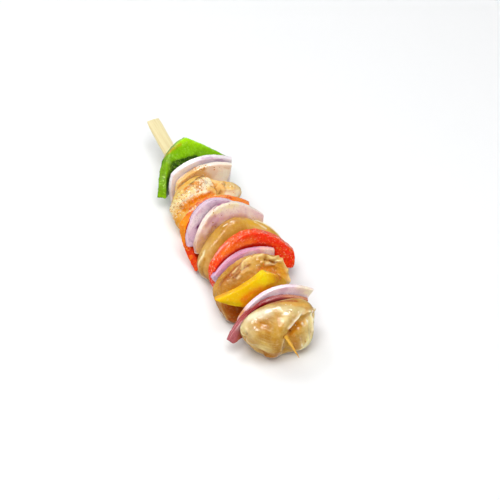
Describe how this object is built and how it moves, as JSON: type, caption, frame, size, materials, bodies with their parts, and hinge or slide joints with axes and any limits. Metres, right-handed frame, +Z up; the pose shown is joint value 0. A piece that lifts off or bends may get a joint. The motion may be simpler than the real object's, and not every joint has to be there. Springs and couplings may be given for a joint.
{
  "type": "chicken kebab skewer",
  "caption": "Chunks of marinated chicken, pieces of bell pepper and layers of red onion threaded on a flat pointed bamboo skewer, lying on its side.",
  "frame": {"origin": "middle of the resting plane under the whole kebab", "axes": "+X along the skewer towards its point, +Y across the flat of the skewer, +Z up"},
  "size_m": [0.23, 0.0662, 0.0401],
  "materials": {
    "bamboo": "plain sawn bamboo",
    "chicken": "wet with marinade",
    "green_pepper": "smooth skin, wet cut edges",
    "orange_pepper": "smooth skin, wet cut edges",
    "red_pepper": "smooth skin, wet cut edges",
    "yellow_pepper": "smooth skin, wet cut edges",
    "onion": "satin, slightly wet",
    "onion_dark": "satin, slightly wet"
  },
  "bodies": {
    "root": {"skewer_stick": "bamboo", "green_pepper": "green_pepper", "onion_1_outer": "onion", "onion_1_inner": "onion", "chicken_1": "chicken", "orange_pepper": "orange_pepper", "onion_2_outer": "onion", "onion_2_inner": "onion", "chicken_2": "chicken", "red_pepper": "red_pepper", "onion_3": "onion", "chicken_3": "chicken", "yellow_pepper": "yellow_pepper", "onion_4_outer": "onion", "onion_4_inner": "onion_dark", "chicken_4": "chicken"}
  },
  "joints": []
}
